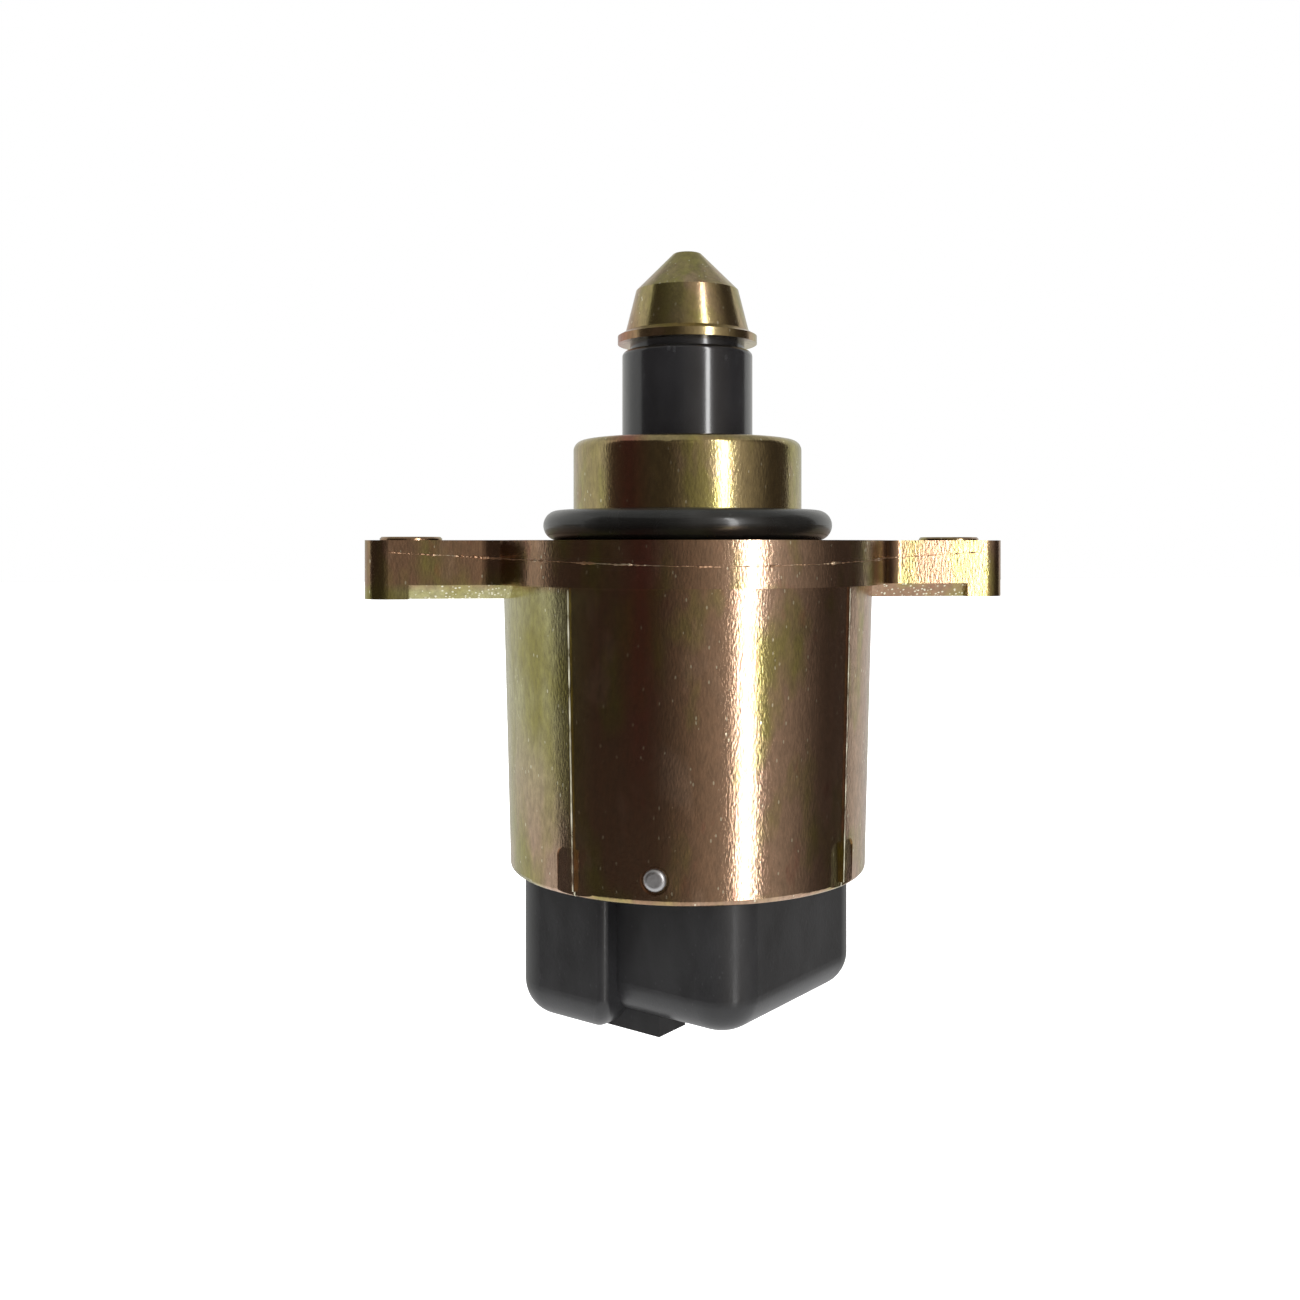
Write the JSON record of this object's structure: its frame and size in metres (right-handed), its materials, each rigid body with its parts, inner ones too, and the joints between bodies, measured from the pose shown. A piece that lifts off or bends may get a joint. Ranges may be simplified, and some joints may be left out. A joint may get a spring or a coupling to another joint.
{
  "type": "idle air control valve",
  "caption": "Flange-mounted stepping-motor valve with a conical pintle, sealed spigot, cast can and a square plug socket",
  "frame": {"origin": "centre of the spigot in the plane of the flange's mounting face", "axes": "+Z along the pintle, out of the flange; X through the two bolt holes"},
  "size_m": [0.0566, 0.0352, 0.0672],
  "materials": {
    "chromated_casting": "zinc die casting, yellow chromate",
    "chromated_steel": "turned steel, yellow chromate",
    "black_moulding": "fine grained black moulding",
    "black_sleeve": "smooth black moulding",
    "seal_rubber": "satin black rubber",
    "bush_plastic": "dark grey low-friction plastic",
    "bobbin_plastic": "natural moulded nylon",
    "hub_plastic": "brown moulded hub",
    "carrier_metal": "as cast",
    "bearing_steel": "ground",
    "cage_brass": "pressed",
    "stator_steel": "pressed sheet, bright zinc",
    "spring_steel": "drawn wire",
    "screw_steel": "rolled",
    "magnet_ferrite": "ground ferrite",
    "winding_copper": "enamelled copper wire",
    "nut_brass": "turned",
    "bush_bronze": "sintered bronze",
    "terminal_tin": "tinned",
    "pin_steel": "bright dull"
  },
  "bodies": {
    "root": {"housing": "chromated_casting", "flange_o_ring": "seal_rubber", "guide_bush": "bush_plastic", "return_spring": "spring_steel", "spring_seat_washer": "stator_steel", "wave_washer": "spring_steel", "bearing_outer_ring": "bearing_steel", "bearing_carrier": "carrier_metal", "upper_stator_cup": "stator_steel", "upper_pole_plate": "stator_steel", "lower_pole_plate": "stator_steel", "lower_stator_cup": "stator_steel", "upper_bobbin": "bobbin_plastic", "lower_bobbin": "bobbin_plastic", "upper_winding": "winding_copper", "lower_winding": "winding_copper", "rear_bush": "bush_bronze", "rear_plate": "stator_steel", "connector_housing": "black_moulding", "connector_seal_ring": "seal_rubber", "terminal_1": "terminal_tin", "terminal_2": "terminal_tin", "terminal_3": "terminal_tin", "terminal_4": "terminal_tin", "retaining_pin_1": "pin_steel", "retaining_pin_2": "pin_steel", "retaining_pin_3": "pin_steel"},
    "rotor": {"rotor_hub": "hub_plastic", "rotor_nut": "nut_brass", "ring_magnet": "magnet_ferrite", "bearing_inner_ring": "bearing_steel", "thrust_washer": "nut_brass"},
    "ball_cage": {"bearing_cage": "cage_brass", "bearing_ball_1": "bearing_steel", "bearing_ball_2": "bearing_steel", "bearing_ball_3": "bearing_steel", "bearing_ball_4": "bearing_steel", "bearing_ball_5": "bearing_steel", "bearing_ball_6": "bearing_steel", "bearing_ball_7": "bearing_steel"},
    "plunger": {"pintle": "chromated_steel", "plunger_sleeve": "black_sleeve", "lead_screw": "screw_steel"}
  },
  "joints": [
    {"name": "pintle_slide", "type": "slide", "parent": "root", "child": "plunger", "axis": [0, 0, 1], "range_m": [-0.004, 0.004], "deforming": ["return_spring"]},
    {"name": "rotor_spin", "type": "hinge", "parent": "root", "child": "rotor", "pos_m": [0, 0, -0.0168], "axis": [0, 0, 1], "range_deg": [-1440, 1440]},
    {"name": "cage_spin", "type": "hinge", "parent": "root", "child": "ball_cage", "pos_m": [0, 0, -0.0086], "axis": [0, 0, 1], "range_deg": [-602.18, 602.18]}
  ],
  "couplings": [
    {"joint": "rotor_spin", "follows": "pintle_slide", "rad_per_m": -6283.2},
    {"joint": "cage_spin", "follows": "pintle_slide", "rad_per_m": -2627.5}
  ]
}
